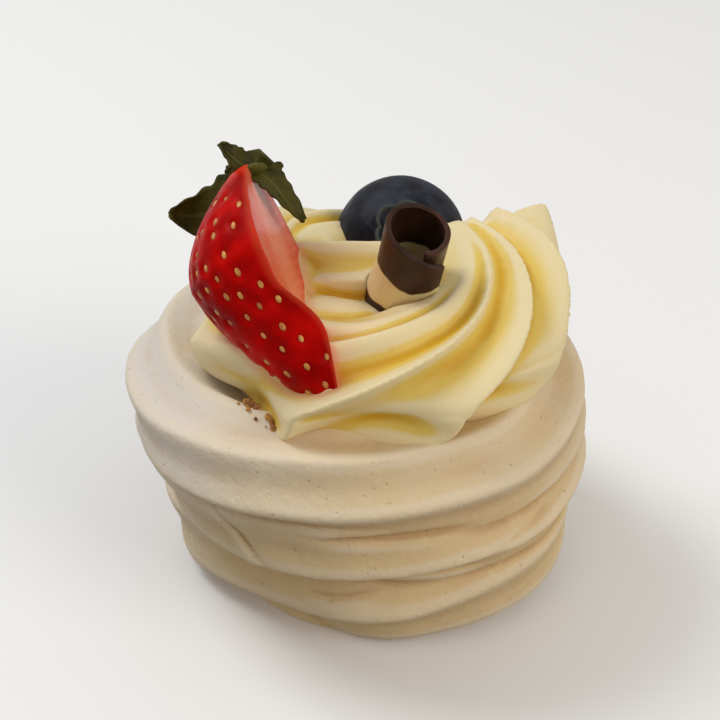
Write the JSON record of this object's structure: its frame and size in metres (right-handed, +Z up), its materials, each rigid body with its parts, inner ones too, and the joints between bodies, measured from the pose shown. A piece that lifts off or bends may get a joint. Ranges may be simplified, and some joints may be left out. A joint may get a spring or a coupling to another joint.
{
  "type": "pavlova",
  "caption": "Small piped meringue nest topped with a swirl of vanilla cream, half a strawberry with its leaves, a blueberry and a rolled chocolate curl.",
  "frame": {"origin": "on the ground under the middle of the part's bounding box", "axes": "+Z up; the front faces -Y, with the strawberry on the -X side"},
  "size_m": [0.0662, 0.0662, 0.0651],
  "materials": {
    "meringue": "dry baked meringue, off-white to warm beige",
    "cream": "soft whipped vanilla cream, slight sheen",
    "strawberry": "fresh strawberry skin, moist",
    "leaf": "dark green sepals",
    "blueberry": "waxy bloom",
    "chocolate": "dark chocolate, soft sheen"
  },
  "bodies": {
    "root": {"meringue": "meringue", "cream": "cream", "strawberry": "strawberry", "strawberry_leaves": "leaf", "blueberry": "blueberry", "chocolate_curl": "chocolate"}
  },
  "joints": []
}
